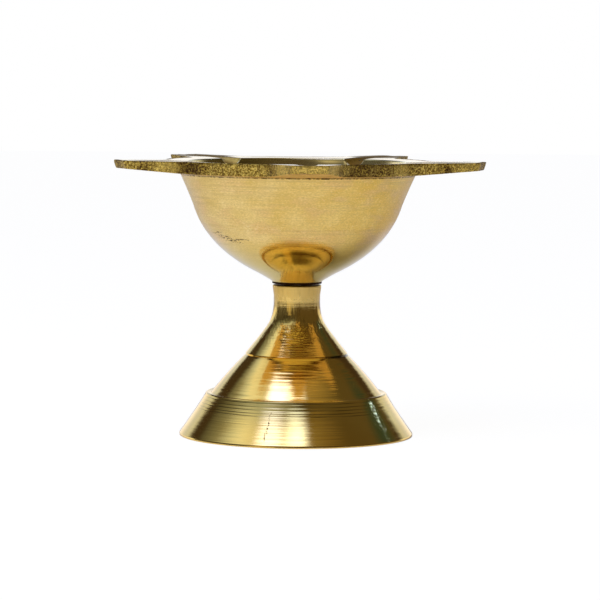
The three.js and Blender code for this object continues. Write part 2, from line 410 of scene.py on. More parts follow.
def add_inside(skin, inner):
    """The floor, its round corner and the inner wall, which dips at the lip where a channel starts."""
    floor_radius = inner[0, 0] - FLOOR_FLAT
    for radius in np.linspace(0, floor_radius, 8):
        skin.add(radius, FLOOR_TOP, inside=1.0)
    corner = (inner[0, 0] - FLOOR_CORNER, FLOOR_TOP)
    for radius, height in rounded(corner, (floor_radius, FLOOR_TOP), inner[0], FLOOR_ROUND, 4):
        skin.add(radius, height, inside=1.0)
    lip_drop = skin.drop(LIP_RADIUS)
    bend_from = RIM_TOP - LIP_BEND
    for radius, height in inner:
        share = np.clip((height - bend_from) / (RIM_TOP - bend_from), 0, 1)
        skin.add(radius, height - lip_drop * share, inside=1.0)


def add_rim(skin, lip_end):
    """The rim's face, its cast edge and its underside."""
    reach = skin.reach
    for share in np.linspace(0, 1, 26)[1:]:
        radius = lip_end + (reach - EDGE_ROUND - lip_end) * share
        height = rim_surface(radius) - skin.drop(radius)
        closeness = np.clip(1 - (reach - EDGE_ROUND - radius) / ARRIS_WEAR, 0, 1)
        skin.add(radius, height, cast_skin=0.25 if share == 1 else 0.0, face_edge=closeness)
    top, under = rim_surface(reach), rim_underside(reach)
    for share in np.linspace(0, 1, 10):
        tuck = EDGE_ROUND * (0.3 if share in (0, 1) else 0.0)
        lean = EDGE_DRAFT * share * reach / TIP_RADIUS
        height = top - EDGE_INSET - (top - under - 2 * EDGE_INSET) * share
        skin.add(reach - lean - tuck, height, cast_skin=1.0, under_edge=0.9 * share, face_edge=1.0)
    under_reach = reach - EDGE_DRAFT * reach / TIP_RADIUS - EDGE_ROUND
    for share in np.linspace(0, 1, 12):
        radius = under_reach + (WALL_TOP[0] + UNDER_RIM_CORNER - under_reach) * share
        last = max(0.0, 12 * share - 11)
        skin.add(radius, rim_underside(radius), cast_skin=0.3, under_edge=last)


def add_outside(skin, flare, belly):
    """The wall, down to the stem, its seat and its hole."""
    beyond = WALL_TOP[0] + 2
    for radius, height in rounded(WALL_TOP, (beyond, rim_underside(beyond)), flare[3], UNDER_RIM_ROUND, 4):
        skin.add(radius, height, under_edge=1.0)
    foot = bend(BELLY, STEM, shares=(0.98, 0.85), steps=12)
    seat_round = rounded((STEM[0], BOWL_SEAT), STEM, (0, BOWL_SEAT), FINE_BREAK, 4)
    hole_top = STUD_TOP + STUD_CLEAR
    hole = [(BORE_RADIUS, BOWL_SEAT), (BORE_RADIUS, hole_top), (0, hole_top)]
    for radius, height in np.vstack([flare[1:], belly[1:], foot[1:], seat_round, hole]):
        skin.add(radius, height)


def make_bowl():
    flare = bend(WALL_TOP, SHOULDER, shares=(0.58, 0.54), steps=14)
    belly = bend(SHOULDER, BELLY, shares=(0.2, 0.63), steps=30)
    wall = np.vstack([offset(flare, BOWL_WALL), offset(belly, BOWL_WALL)])
    inner = wall[(wall[:, 1] > FLOOR_TOP + FLOOR_ROUND) & (wall[:, 1] < RIM_TOP - LIP_CLEAR)][::-1]
    lip_round = rounded((LIP_RADIUS, RIM_TOP), inner[-1], (LIP_RADIUS + 2, RIM_TOP), LIP_ROUND, 6)
    skin = BowlSkin()
    add_inside(skin, np.vstack([inner, lip_round]))
    add_rim(skin, lip_round[-1, 0])
    add_outside(skin, flare, belly)
    piece = ring_mesh("spouted_bowl_cast", np.stack(skin.rings), closed=False)
    for mark, values in skin.marks.items():
        attribute = piece.data.attributes.new(mark, "FLOAT", "POINT")
        attribute.data.foreach_set("value", np.concatenate(values).astype(np.float32))
    return close_up(piece, sharp_degrees=50)


# Nodes, for shapes and for materials

def feed(tree, socket, value):
    """Links a socket to another one, or sets it to a plain value."""
    if isinstance(value, bpy.types.NodeSocket):
        tree.links.new(value, socket)
    else:
        socket.default_value = value


def add_node(tree, kind, settings=(), **inputs):
    node = tree.nodes.new(kind)
    for key, value in dict(settings).items():
        setattr(node, key, value)
    for key, value in inputs.items():
        feed(tree, node.inputs[key.replace("_", " ")], value)
    return node


def arithmetic(tree, operation, *values):
    """One step of arithmetic on sockets or numbers."""
    node = add_node(tree, "ShaderNodeMath", {"operation": operation})
    for socket, value in zip(node.inputs, values):
        feed(tree, socket, value)
    return node.outputs[0]


def product(tree, one, two):
    return arithmetic(tree, "MULTIPLY", one, two)


def added(tree, one, two):
    return arithmetic(tree, "ADD", one, two)


def larger(tree, one, two):
    return arithmetic(tree, "MAXIMUM", one, two)


def distance_between(tree, one, two):
    return arithmetic(tree, "ABSOLUTE", arithmetic(tree, "SUBTRACT", one, two))


def vector_value(tree, operation, one, two):
    """A number worked out from two vectors."""
    node = add_node(tree, "ShaderNodeVectorMath", {"operation": operation})
    feed(tree, node.inputs[0], one)
    feed(tree, node.inputs[1], two)
    return node.outputs["Value"]


def new_tree(name, sizes):
    """A modifier tree with a geometry socket each way and one named input for each size."""
    tree = bpy.data.node_groups.new(name, "GeometryNodeTree")
    tree.interface.new_socket("Geometry", in_out="INPUT", socket_type="NodeSocketGeometry")
    for size in sizes:
        tree.interface.new_socket(size, in_out="INPUT", socket_type="NodeSocketFloat")
    tree.interface.new_socket("Geometry", in_out="OUTPUT", socket_type="NodeSocketGeometry")
    return tree, tree.nodes.new("NodeGroupInput"), tree.nodes.new("NodeGroupOutput")


def end_tree(tree, shape, material, result):
    """Real geometry in one material, because the export drops instances."""
    realized = add_node(tree, "GeometryNodeRealizeInstances", Geometry=shape)
    painted = add_node(tree, "GeometryNodeSetMaterial", Geometry=realized.outputs[0], Material=material)
    tree.links.new(painted.outputs[0], result.inputs[0])


def grow(piece, tree, values):
    """Runs a tree on a piece and keeps the result as a plain mesh."""
    modifier = piece.modifiers.new(tree.name, "NODES")
    modifier.node_group = tree
    for item in tree.interface.items_tree:
        if item.in_out == "INPUT" and item.name in values:
            modifier[item.identifier] = values[item.name]
    depsgraph = bpy.context.evaluated_depsgraph_get()
    mesh = bpy.data.meshes.new_from_object(piece.evaluated_get(depsgraph))
    piece.modifiers.remove(modifier)
    piece.data = mesh
    return piece


def cast_skin_tree(material):
    """Pushes the unmachined edge in and out like sand-cast metal, where the cast_skin mark says."""
    tree, sizes, result = new_tree("cast_skin", ("Grain", "Depth", "Swell"))
    mark = add_node(tree, "GeometryNodeInputNamedAttribute", {"data_type": "FLOAT"}, Name="cast_skin")
    fine = add_node(tree, "ShaderNodeTexNoise", Scale=sizes.outputs["Grain"], Detail=3.0, Roughness=0.6)
    wide = add_node(tree, "ShaderNodeTexNoise", Scale=sizes.outputs["Swell"], Detail=1.0)
    centred = arithmetic(tree, "SUBTRACT", added(tree, fine.outputs["Fac"], wide.outputs["Fac"]), 1.1)
    deep = product(tree, product(tree, centred, mark.outputs["Attribute"]), sizes.outputs["Depth"])
    normal = add_node(tree, "GeometryNodeInputNormal").outputs["Normal"]
    push = add_node(tree, "ShaderNodeVectorMath", {"operation": "SCALE"}, Vector=normal, Scale=deep)
    moved = add_node(
        tree, "GeometryNodeSetPosition", Geometry=sizes.outputs["Geometry"], Offset=push.outputs[0],
    )
    end_tree(tree, moved.outputs[0], material, result)
    return tree


def thread_tree(material):
    """A stud's thread: a three-sided ridge wound along a helix and joined to its core."""
    tree, sizes, result = new_tree("stud_thread", ("Turns", "Pitch", "Radius", "Depth", "Bottom"))
    turns, radius = sizes.outputs["Turns"], sizes.outputs["Radius"]
    helix = add_node(
        tree, "GeometryNodeCurveSpiral", Resolution=40, Rotations=turns, Start_Radius=radius,
        End_Radius=radius, Height=product(tree, turns, sizes.outputs["Pitch"]),
    )
    upright = add_node(tree, "GeometryNodeSetCurveNormal", Curve=helix.outputs[0])
    section = add_node(tree, "GeometryNodeCurvePrimitiveCircle", Resolution=3, Radius=sizes.outputs["Depth"])
    ridge = add_node(
        tree, "GeometryNodeCurveToMesh", Curve=upright.outputs[0], Profile_Curve=section.outputs[0],
        Fill_Caps=True,
    )
    place = add_node(tree, "ShaderNodeCombineXYZ", Z=sizes.outputs["Bottom"])
    placed = add_node(tree, "GeometryNodeTransform", Geometry=ridge.outputs[0], Translation=place.outputs[0])
    joined = add_node(tree, "GeometryNodeJoinGeometry")
    tree.links.new(placed.outputs[0], joined.inputs[0])
    tree.links.new(sizes.outputs["Geometry"], joined.inputs[0])
    end_tree(tree, joined.outputs[0], material, result)
    return tree


def make_stud(material):
    """The stud is made about the world's axis, where its helix runs, and then moved to the lamp's."""
    core = STUD_RADIUS - THREAD_DEPTH
    piece = ring_mesh("threaded_stud", turned_rings(stud_profile(core), STUD_COLUMNS), closed=False)
    close_up(piece)
    piece.data.transform(Matrix.Translation(-AXIS))
    turns = math.floor((STUD_TOP - STUD_BOTTOM) / THREAD_PITCH) - 1
    values = {
        "Turns": float(turns), "Pitch": THREAD_PITCH * MM, "Radius": (core + RIDGE_OUT) * MM,
        "Depth": RIDGE_RADIUS * MM, "Bottom": (STUD_BOTTOM + THREAD_START) * MM,
    }
    grow(piece, thread_tree(material), values)
    piece.data.transform(Matrix.Translation(AXIS))
    return piece


# What materials are put together from

def new_material(name, **sockets):
    material = bpy.data.materials.new(name)
    material.use_nodes = True
    shader = material.node_tree.nodes["Principled BSDF"]
    for key, value in sockets.items():
        shader.inputs[key.replace("_", " ")].default_value = value
    return material, material.node_tree, shader


def object_place(tree):
    return add_node(tree, "ShaderNodeTexCoord").outputs["Object"]


def height_of(tree):
    """A point's height above the table, in metres."""
    return add_node(tree, "ShaderNodeSeparateXYZ", Vector=object_place(tree)).outputs["Z"]


def across_of(tree):
    """How far a point lies to the right of the lamp's middle, in metres."""
    return add_node(tree, "ShaderNodeSeparateXYZ", Vector=object_place(tree)).outputs["X"]


def object_noise(tree, stretch, scale, detail=2.0, roughness=0.5):
    """Noise on the piece's own coordinates, squeezed or stretched along its axes."""
    mapping = add_node(tree, "ShaderNodeMapping", Vector=object_place(tree), Scale=stretch)
    noise = add_node(
        tree, "ShaderNodeTexNoise", Vector=mapping.outputs[0], Scale=scale, Detail=detail,
        Roughness=roughness,
    )
    return noise.outputs["Fac"]


def spread(tree, value, low, high, to_low=0.0, to_high=1.0):
    """Maps a range of a value to another range, clamped."""
    return add_node(
        tree, "ShaderNodeMapRange", Value=value, From_Min=low, From_Max=high, To_Min=to_low, To_Max=to_high,
    ).outputs[0]


def change_over(tree, place, ends, to_low=0.0, to_high=1.0):
    """A change along heights, widths or distances, whose two ends are given in millimetres."""
    return spread(tree, place, ends[0] * MM, ends[1] * MM, to_low, to_high)


def mixed(tree, share, one, two):
    """A share of the second colour over the first; each is a socket or three numbers."""
    mix = add_node(tree, "ShaderNodeMix", {"data_type": "RGBA"})
    feed(tree, mix.inputs[0], share)
    for socket, colour in ((mix.inputs[6], one), (mix.inputs[7], two)):
        feed(tree, socket, colour if isinstance(colour, bpy.types.NodeSocket) else (*colour, 1))
    return mix.outputs[2]


def bumped(tree, height, strength, distance, under=None):
    """A bump as deep as a distance in millimetres, on top of the one under it."""
    bump = add_node(tree, "ShaderNodeBump", Height=height, Strength=strength, Distance=distance * MM)
    if under is not None:
        tree.links.new(under, bump.inputs["Normal"])
    return bump.outputs[0]


def surface_point(direction, radius, height):
    turn = math.radians(direction)
    return AXIS + Vector((math.cos(turn) * radius, math.sin(turn) * radius, height)) * MM


def spot(tree, direction, radius, height, reach):
    """A soft round place on the surface: 1 in its middle, 0 past its reach."""
    away = vector_value(tree, "DISTANCE", object_place(tree), surface_point(direction, radius, height))
    return change_over(tree, away, (reach / 2, reach), 1.0, 0.0)


def joint_shadow_and_grime_share(tree):
    """Blackens the brass round the joint between bowl and stand: painted shadow of the seam's gap, with old
    polish and oil in it.
    """
    level = height_of(tree)
    above = change_over(tree, level, JOINT_SHADOW_AND_GRIME_BOTTOM)
    below = change_over(tree, level, JOINT_SHADOW_AND_GRIME_TOP, 1.0, 0.0)
    return product(tree, above, below)


def edge_share(tree, mark, start, end):
    """A ragged line where a mark says: brown dirt on the rim's arris, and painted shade down the cast edge
    and in the corner under the rim.
    """
    shade = add_node(tree, "ShaderNodeAttribute", {"attribute_name": mark}).outputs["Fac"]
    noise = object_noise(tree, (1, 1, 0.5), 1900, detail=2, roughness=0.6)
    ragged = spread(tree, noise, 0.3, 0.7, 0.72, 1.15)
    return spread(tree, product(tree, shade, ragged), start, end)


def scratch_share(tree, share, scratches):
    """Adds dark scratches: thin lines on the surface, each wavering and broken along its length."""
    waver = spread(tree, object_noise(tree, (1, 1, 1), 1500), 0.3, 0.7, -0.2 * MM, 0.2 * MM)
    broken = spread(tree, object_noise(tree, (1, 1, 1), 2300), 0.4, 0.55, 0.15, 0.95)
    for direction, radius, height, reach, slope in scratches:
        turn, lean = math.radians(direction), math.radians(slope)
        across = Vector((math.sin(turn) * math.sin(lean), -math.cos(turn) * math.sin(lean), math.cos(lean)))
        middle = surface_point(direction, radius, height).dot(across)
        here = vector_value(tree, "DOT_PRODUCT", object_place(tree), across)
        from_line = distance_between(tree, arithmetic(tree, "SUBTRACT", here, middle), waver)
        thin = change_over(tree, from_line, (0.3 * SCRATCH_WIDTH, 0.6 * SCRATCH_WIDTH), 1.0, 0.0)
        near = product(tree, spot(tree, direction, radius, height, reach), broken)
        share = larger(tree, share, product(tree, near, thin))
    return share


def darkened(tree, shader, colour, roughness, share, dark_colour=BLACK_GRIME_AND_SHADE):
    """Lays a dark, dull colour over a finish where share says: real dirt, and painted shade where a caller's
    share paints it.
    """
    tree.links.new(mixed(tree, share, colour, dark_colour), shader.inputs["Base Color"])
    tree.links.new(larger(tree, roughness, spread(tree, share, 0, 1, 0.0, 0.75)), shader.inputs["Roughness"])


def with_line_grime(tree, colour):
    """Old polish where a rag doesn't reach: in the band's turned lines, and in the groove on the right."""
    level, across = height_of(tree), across_of(tree)
    patchy = spread(tree, object_noise(tree, (120, 120, 400), 1), 0.36, 0.6, 0.2, 0.9)
    left = change_over(tree, across, LINE_GRIME_LEFT, 0.1, 1.0)
    right = change_over(tree, across, LINE_GRIME_RIGHT, 1.0, 0.1)
    strength = product(tree, product(tree, left, right), patchy)
    for height in BAND_LINES:
        near = change_over(tree, distance_between(tree, level, height * MM), (0.04, 0.12), 1.0, 0.0)
        colour = mixed(tree, product(tree, near, strength), colour, OLD_POLISH)
    in_groove = change_over(tree, distance_between(tree, level, GROOVE_MIDDLE * MM), (0.15, 0.3), 1.0, 0.0)
    share = product(tree, in_groove, change_over(tree, across, GROOVE_GRIME_LEFT))
    return mixed(tree, share, colour, OLD_POLISH)


def with_band_shade(tree, colour):
    """Painted shade on the band, left of its middle and thicker towards the ledge, dimming the top of the
    highlight there.
    """
    level, across = height_of(tree), across_of(tree)
    right_of = change_over(tree, across, BAND_SHADE_LEFT)
    left_of = change_over(tree, across, BAND_SHADE_RIGHT, 1.0, 0.0)
    above = change_over(tree, level, BAND_SHADE_BOTTOM)
    below = change_over(tree, level, BAND_SHADE_TOP, 1.0, 0.0)
    share = product(tree, product(tree, right_of, left_of), product(tree, above, below))
    return mixed(tree, share, colour, BAND_SHADE_COLOUR)


# Materials

def satin_turned_brass():
    """The bowl's wall: satin off the lathe at the top, smoother below, with rings and a sparkling mottle."""
    material, tree, shader = new_material("satin_turned_brass", Metallic=1.0)
    level = height_of(tree)
    wide = spread(tree, object_noise(tree, (1, 1, 1.6), 110, detail=3), 0.38, 0.64)
    warm = object_noise(tree, (1, 1, 2.2), 170)
    mottle = object_noise(tree, (1, 1, 1.8), 2400)
    rings = object_noise(tree, (30, 30, 5200), 1, detail=3, roughness=0.6)
    bands = object_noise(tree, (60, 60, 1700), 1, detail=3, roughness=0.6)
    pale = mixed(tree, wide, (0.86, 0.595, 0.156), (1.0, 0.75, 0.285))
    deep = mixed(tree, wide, (0.91, 0.56, 0.084), (1.0, 0.69, 0.16))
    # Painted shade: a deeper, more saturated tone on the right side, for its darker reflection.
    tone = mixed(tree, change_over(tree, across_of(tree), BOWL_DEEPER), pale, deep)
    tone = mixed(tree, spread(tree, warm, 0.5, 0.66, 0.0, 0.6), tone, (0.90, 0.58, 0.21))
    tone = mixed(tree, spread(tree, mottle, 0.35, 0.7, 0.0, 0.5), tone, (0.60, 0.42, 0.11))
    tone = mixed(tree, spread(tree, mottle, 0.4, 0.28, 0.0, 0.35), tone, (0.95, 0.80, 0.42))
    worn_away = spread(tree, object_noise(tree, (1, 1, 2.5), 75), 0.42, 0.6, 0.25, 1.0)
    fine_lines = product(tree, worn_away, spread(tree, rings, 0.52, 0.66, 0.0, 0.35))
    wide_lines = product(tree, worn_away, spread(tree, bands, 0.5, 0.68, 0.0, 0.45))
    tone = mixed(tree, fine_lines, tone, (0.55, 0.38, 0.12))
    tone = mixed(tree, wide_lines, tone, (0.62, 0.42, 0.12))
    tone = mixed(tree, change_over(tree, level, BOWL_OLIVE, 0.75, 0.0), tone, (0.68, 0.55, 0.15))
    satin = change_over(tree, level, BOWL_SATIN, 0.07, 0.33)
    rough = added(tree, satin, spread(tree, mottle, 0.3, 0.7, -0.03, 0.05))
    # The joint's dark line is painted shadow of the seam with old polish in it; the scratches are real.
    share = scratch_share(tree, joint_shadow_and_grime_share(tree), BOWL_SCRATCHES)
    # Painted shadow: a dark line in the corner where the wall meets the rim's underside, from the mark under
    # the rim.
    darkened(tree, shader, tone, rough, larger(tree, share, edge_share(tree, "under_edge", 0.72, 1.15)))
    fine = bumped(tree, mottle, change_over(tree, level, BOWL_SATIN, 0.04, 0.22), 0.05)
    turned = bumped(tree, rings, change_over(tree, level, BOWL_SATIN, 0.1, 0.45), 0.08, fine)
    tree.links.new(turned, shader.inputs["Normal"])
    return material


def inside_brass():
    """The bowl's inside: turned smooth, with painted shade that darkens its left side olive, and faint rings.
    """
    material, tree, shader = new_material("inside_brass", Metallic=1.0)
    cloud = spread(tree, object_noise(tree, (1, 1, 1.6), 130, detail=3), 0.35, 0.65)
    rings = object_noise(tree, (30, 30, 3600), 1, detail=3, roughness=0.6)
    unshaded = mixed(tree, cloud, (0.88, 0.72, 0.34), (0.98, 0.85, 0.46))
    shaded_inside = mixed(tree, cloud, (0.40, 0.32, 0.11), (0.58, 0.47, 0.18))
    # Painted shade: the inside goes dark olive on its left.
    tone = mixed(tree, change_over(tree, across_of(tree), INSIDE_SHADE_END), shaded_inside, unshaded)
    tone = mixed(tree, spread(tree, rings, 0.5, 0.66, 0.0, 0.3), tone, (0.40, 0.32, 0.10))
    tree.links.new(tone, shader.inputs["Base Color"])
    tree.links.new(spread(tree, rings, 0.3, 0.7, 0.16, 0.28), shader.inputs["Roughness"])
    tree.links.new(bumped(tree, rings, 0.3, 0.06), shader.inputs["Normal"])
    return material


def ground_rim_brass():
    """The rim's face: ground flat and bright, faintly scratched, brown at its arris, with painted darker
    reflections behind.
    """
    material, tree, shader = new_material("ground_rim_brass", Metallic=1.0)
    streaks = object_noise(tree, (240, 5000, 240), 1, detail=3, roughness=0.6)
    cloud = object_noise(tree, (1, 1, 1), 160, detail=3)
    tone = mixed(tree, spread(tree, cloud, 0.35, 0.7), (0.80, 0.60, 0.25), (0.87, 0.70, 0.36))
    rough = spread(tree, streaks, 0.3, 0.7, 0.08, 0.16)
    share = edge_share(tree, "face_edge", 0.15, 0.7)
    # Painted reflection: darker places on the far side of the rim's face.
    for direction, radius, reach, strength in FACE_DARK_REFLECTIONS:
        dark_reflection = spread(tree, spot(tree, direction, radius, RIM_TOP, reach), 0, 1, 0.0, strength)
        share = larger(tree, share, dark_reflection)
    darkened(tree, shader, tone, rough, share, BROWN_GRIME_AND_SHADE)
    tree.links.new(bumped(tree, streaks, 0.1, 0.02), shader.inputs["Normal"])
    return material


def rough_cast_brass():
    """The rim's edge as it came from the sand, dark in its pits and filed bright on its grain; its bright and
    dark places are partly wear and stains and partly painted light and shade.
    """
    material, tree, shader = new_material("rough_cast_brass", Metallic=1.0)
    grain = object_noise(tree, (1, 1, 1), 2900, detail=3, roughness=0.75)
    dirt = object_noise(tree, (1, 1, 0.4), 260, detail=3)
    filed = object_noise(tree, (2600, 2600, 160), 1)
    dark = mixed(tree, spread(tree, dirt, 0.4, 0.6), (0.10, 0.045, 0.008), (0.26, 0.15, 0.02))
    light = mixed(tree, spread(tree, dirt, 0.4, 0.62), (0.62, 0.42, 0.07), (0.90, 0.66, 0.14))
    tone = mixed(tree, spread(tree, grain, 0.45, 0.57), dark, light)
    tone = mixed(tree, spread(tree, filed, 0.52, 0.62, 0.0, 0.5), tone, (0.22, 0.13, 0.03))
    # Bright places: partly wear, partly painted light on facets turned to the light.
    for direction, radius, reach, strength in EDGE_LIGHT_AND_WEAR:
        closeness = spot(tree, direction, radius, EDGE_MIDDLE, reach)
        share = product(tree, closeness, spread(tree, grain, 0.3, 0.6, strength * 0.4, strength))
        tone = mixed(tree, share, tone, LIGHT_AND_WEAR_BRIGHT)
    # Dark places: partly stains, partly painted shade on facets turned away from the light.
    for direction, radius, reach, strength in EDGE_SHADE_AND_STAINS:
        blotch = spot(tree, direction, radius, EDGE_MIDDLE, reach)
        share = product(tree, blotch, spread(tree, grain, 0.4, 0.65, strength, strength * 0.5))
        tone = mixed(tree, share, tone, EDGE_SHADE_AND_STAIN)
    rough = spread(tree, grain, 0.35, 0.65, 0.7, 0.42)
    # Painted shade, darker towards the bottom of the cast edge.
    darkened(tree, shader, tone, rough, edge_share(tree, "under_edge", 0.8, 1.0))
    tree.links.new(bumped(tree, grain, 0.6, 0.14), shader.inputs["Normal"])
    return material


def dressed_brass():
    """The rim's underside: cast, then dressed smooth with a file, with a soft satin shine and painted shade
    next to the wall.
    """
    material, tree, shader = new_material("dressed_brass", Metallic=1.0)
    cloud = object_noise(tree, (1, 1, 1), 300, detail=3)
    grain = object_noise(tree, (1, 1, 1), 2200)
    tone = mixed(tree, spread(tree, cloud, 0.38, 0.64), (0.72, 0.47, 0.14), (0.90, 0.64, 0.24))
    tone = mixed(tree, spread(tree, grain, 0.5, 0.68, 0.0, 0.5), tone, (0.40, 0.25, 0.06))
    rough = spread(tree, grain, 0.3, 0.7, 0.32, 0.45)
    darkened(tree, shader, tone, rough, edge_share(tree, "under_edge", 0.5, 0.9))
    tree.links.new(bumped(tree, grain, 0.3, 0.08), shader.inputs["Normal"])
    return material


def bright_turned_brass():
    """The stand: buffed to a mirror, with the tool's rings on the cone and streaks at the throat."""
    material, tree, shader = new_material("bright_turned_brass", Metallic=1.0)
    level = height_of(tree)
    wide = object_noise(tree, (1, 1, 1), 90)
    streaks = object_noise(tree, (1500, 1500, 60), 1)
    rings = object_noise(tree, (12, 12, 4200), 1, detail=4, roughness=0.65)
    coarse = object_noise(tree, (25, 25, 1900), 1)
    above = change_over(tree, level, THROAT_STREAKS_BOTTOM)
    at_throat = product(tree, above, change_over(tree, level, THROAT_STREAKS_TOP, 1.0, 0.4))
    streaked = product(tree, spread(tree, streaks, 0.45, 0.7, 0.0, 0.6), at_throat)
    tone = mixed(tree, spread(tree, wide, 0.35, 0.65), (0.85, 0.55, 0.13), (0.92, 0.65, 0.19))
    tone = mixed(tree, streaked, tone, (0.45, 0.27, 0.05))
    # The dim patch on the upper band is painted shade.
    tone = with_band_shade(tree, with_line_grime(tree, tone))
    ragged = added(tree, level, spread(tree, streaks, 0.3, 0.7, 1.0 * MM, -1.0 * MM))
    satin = change_over(tree, ragged, NECK_SATIN, 0.0, 0.3)
    rough = added(tree, spread(tree, rings, 0.3, 0.7, 0.04, 0.15), satin)
    # The joint's dark line is painted shadow of the seam with old polish in it; the scratches are real.
    darkened(tree, shader, tone, rough, scratch_share(tree, joint_shadow_and_grime_share(tree), STAND_SCRATCHES))
    above_band = change_over(tree, level, CONE_RINGS_BOTTOM, 0.35, 1.0)
    below_neck = change_over(tree, level, CONE_RINGS_TOP, 0.7, 0.35)
    fine = bumped(tree, rings, 0.35, 0.05)
    turned = bumped(tree, coarse, product(tree, above_band, below_neck), 0.08, fine)
    tree.links.new(bumped(tree, streaks, at_throat, 0.12, turned), shader.inputs["Normal"])
    return material


def hollow_brass():
    """The hollow under the foot: turned quickly, never polished, with coarse rings and a dull brown cloud."""
    material, tree, shader = new_material("hollow_brass", Metallic=1.0)
    cloud = object_noise(tree, (1, 1, 1), 150, detail=3)
    rings = object_noise(tree, (14, 14, 1500), 1, detail=3, roughness=0.55)
    tone = mixed(tree, spread(tree, cloud, 0.36, 0.64), (0.42, 0.28, 0.10), (0.68, 0.50, 0.20))
    tone = mixed(tree, spread(tree, rings, 0.5, 0.66, 0.0, 0.5), tone, (0.26, 0.17, 0.06))
    tree.links.new(tone, shader.inputs["Base Color"])
    tree.links.new(spread(tree, cloud, 0.36, 0.64, 0.52, 0.36), shader.inputs["Roughness"])
    tree.links.new(bumped(tree, rings, 0.5, 0.15), shader.inputs["Normal"])
    return material


def rod_brass():
    """The stud: drawn rod, a little dull, with oil in its thread."""
    material, tree, shader = new_material("rod_brass", Metallic=1.0)
    blotch = object_noise(tree, (1, 1, 1), 700, detail=3)
    tone = mixed(tree, spread(tree, blotch, 0.4, 0.62), (0.66, 0.47, 0.2), (0.42, 0.29, 0.12))
    tree.links.new(tone, shader.inputs["Base Color"])
    tree.links.new(spread(tree, blotch, 0.35, 0.65, 0.28, 0.5), shader.inputs["Roughness"])
    return material


# Where each finish goes, told by a face's normal, its height below the rim's top, or its marks

FACES_DOWN = -0.7
FACES_UP = 0.8
FACES_AXIS = 0.05
HARDLY_UP = 0.2
RIM_FACE_DEPTH = 0.5
MARKED_INSIDE = 0.5
MARKED_CAST = 0.2


def paint_stand(piece):
    """Bright outside, and dull in the hollow and the bore, whose faces look at the axis."""
    for make in (bright_turned_brass, hollow_brass):
        piece.data.materials.append(make())
    bright, hollow = range(2)
    for face in piece.data.polygons:
        towards_axis = ((AXIS - face.center) * Vector((1, 1, 0))).normalized()
        looks_in = face.normal.dot(towards_axis) > FACES_AXIS and face.normal.z < HARDLY_UP
        face.material_index = hollow if looks_in else bright


def paint_bowl(piece):
    """Cast skin on the rim's edge, dressed below, ground on its face, painted shade on the left of the
    inside; the rest stays satin.
    """
    for make in (rough_cast_brass, ground_rim_brass, dressed_brass, inside_brass):
        piece.data.materials.append(make())
    satin, cast, ground, dressed, shaded_inside = range(5)
    cast_skin = piece.data.attributes["cast_skin"].data
    inside = piece.data.attributes["inside"].data
    for face in piece.data.polygons:
        up = face.normal.z
        if min(inside[v].value for v in face.vertices) > MARKED_INSIDE:
            face.material_index = shaded_inside
        elif min(cast_skin[v].value for v in face.vertices) > MARKED_CAST:
            face.material_index = dressed if up < FACES_DOWN else cast
        elif up > FACES_UP and face.center.z > (RIM_TOP - RIM_FACE_DEPTH) * MM:
            face.material_index = ground
        else:
            face.material_index = satin


# Camera and surroundings, in metres

CAMERA_TURN = math.radians(-3.5)
CAMERA_DISTANCE = 0.600
CAMERA_HEIGHT = 0.0741
CAMERA_PITCH = math.radians(-4.46)
CAMERA_YAW = math.radians(-0.06)
CAMERA_ROLL = math.radians(0.5)
CAMERA_LENS = 178.8
SENSOR = 36.0

SIDE_LIGHT_PLACE = (-0.45, -0.40, 0.55)
SIDE_LIGHT_AIM = (0.0, 0.0, 0.03)
SIDE_LIGHT_SIZE = 0.5
SIDE_LIGHT_POWER = 5.0

FLOOR_HALF = 2.0

# The room's shades from straight down at 0 to straight up at 1
LEFT_SIDE = (
    (0.0, 0.3), (0.727, (0.055, 0.052, 0.04)), (0.79, (0.19, 0.22, 0.24)), (0.82, (0.29, 0.33, 0.38)),
    (0.855, (0.62, 0.74, 0.98)), (0.885, (0.98, 1.08, 1.3)), (1.0, 0.7),
)
RIGHT_SIDE = (
    (0.0, 0.2), (0.60, (0.10, 0.075, 0.04)), (0.90, (0.10, 0.08, 0.04)), (1.0, (0.45, 0.34, 0.14)),
)
BEHIND = (
    (0.0, 0.85), (0.495, 0.9), (0.505, 1.15), (0.55, 1.1), (0.60, (0.70, 0.80, 0.98)),
    (0.65, (0.70, 0.80, 0.98)), (0.68, (0.055, 0.04, 0.025)), (0.83, (0.055, 0.04, 0.025)), (0.90, 0.5),
    (1.0, 0.7),
)

# Patches of the room: direction, the angles where each is full and where it ends, and shade
ROOM_PATCHES = (
    ((-0.30, -0.26, 0.917), 7.0, 13.5, (2.4, 2.9, 7.0)),
    ((-0.03, -0.40, 0.915), 5.5, 10.5, (2.1, 2.6, 5.0)),
    ((-0.62, -0.78, 0.07), 6.0, 18.0, (0.70, 0.64, 0.48)),
    ((0.78, 0.34, 0.50), 4.0, 14.0, (0.04, 0.065, 0.055)),
    ((0.78, 0.35, 0.435), 0.1, 0.5, (20.0, 32.0, 80.0)),
    ((0.78, 0.35, 0.455), 0.1, 0.5, (20.0, 32.0, 80.0)),
)


def make_camera():
    data = bpy.data.cameras.new("camera")
    data.lens, data.sensor_width = CAMERA_LENS, SENSOR
    camera = bpy.data.objects.new("camera", data)
    bpy.context.scene.collection.objects.link(camera)
    away = Vector((math.sin(CAMERA_TURN), -math.cos(CAMERA_TURN), 0)) * CAMERA_DISTANCE
    turned = Matrix.Rotation(CAMERA_TURN + CAMERA_YAW, 4, "Z")
    tipped = Matrix.Rotation(math.pi / 2 + CAMERA_PITCH, 4, "X")
    place = Matrix.Translation(AXIS + away + Vector((0, 0, CAMERA_HEIGHT)))
    camera.matrix_world = place @ turned @ tipped @ Matrix.Rotation(CAMERA_ROLL, 4, "Z")
    bpy.context.scene.camera = camera


